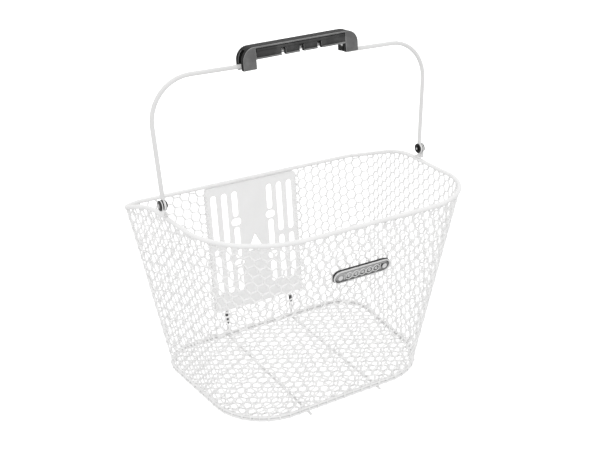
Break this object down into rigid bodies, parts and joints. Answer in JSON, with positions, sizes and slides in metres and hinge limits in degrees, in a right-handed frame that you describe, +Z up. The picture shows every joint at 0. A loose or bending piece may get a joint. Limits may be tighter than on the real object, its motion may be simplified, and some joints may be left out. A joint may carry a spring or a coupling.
{
  "type": "bicycle front basket",
  "caption": "Tapered basket of white honeycomb wire netting on a wire frame, with a slotted plate at the back, a badge at the front and a folding bail handle with a plastic grip.",
  "frame": {"origin": "on the ground, under the middle of the basket's outer box", "axes": "+Z up; +Y towards the back, where the mounting plate is; +X along the plate, to the right for somebody who stands in front of the basket and looks along +Y"},
  "size_m": [0.3538, 0.2696, 0.4105],
  "materials": {
    "white_wire": "satin white powder coat on round wire",
    "white_netting": "thick satin white coat on woven wire netting",
    "white_sheet": "satin white powder coat on pressed sheet",
    "charcoal_grip": "fine-grained moulded plastic, charcoal",
    "black_washer": "smooth black plastic",
    "black_rubber": "matt black rubber",
    "badge_metal": "satin silver with darker fields",
    "dark_steel": "dark polished steel"
  },
  "bodies": {
    "basket": {"rim_ring": "white_wire", "base_ring": "white_wire", "wall_lower_ring": "white_wire", "support_wire_left": "white_wire", "support_sleeve_left": "black_rubber", "support_wire_right": "white_wire", "support_sleeve_right": "black_rubber", "wall_netting_back_left": "white_netting", "wall_netting_back_right": "white_netting", "wall_netting_back_corner_left": "white_netting", "wall_netting_back_corner_right": "white_netting", "wall_netting_side_left": "white_netting", "wall_netting_side_right": "white_netting", "wall_netting_front_corner_left": "white_netting", "wall_netting_front_corner_right": "white_netting", "wall_netting_front": "white_netting", "wall_netting_below_plate": "white_netting", "floor_netting": "white_netting", "mounting_plate": "white_sheet", "badge_plate": "badge_metal", "badge_gasket": "black_rubber", "badge_backing_strip": "white_sheet", "badge_rivet_left": "badge_metal", "badge_rivet_right": "badge_metal", "pivot_bracket_left": "white_wire", "pivot_bolt_left": "dark_steel", "pivot_nut_left": "dark_steel", "pivot_washer_outer_left": "black_washer", "pivot_washer_inner_left": "black_washer", "pivot_bracket_right": "white_wire", "pivot_bolt_right": "dark_steel", "pivot_nut_right": "dark_steel", "pivot_washer_outer_right": "black_washer", "pivot_washer_inner_right": "black_washer"},
    "bail": {"bail_wire": "white_wire", "handle_grip": "charcoal_grip"}
  },
  "joints": [
    {"name": "bail_swing", "type": "hinge", "parent": "basket", "child": "bail", "pos_m": [0, 0.0068, 0.2535], "axis": [1, 0, 0], "range_deg": [-100, 91]}
  ]
}
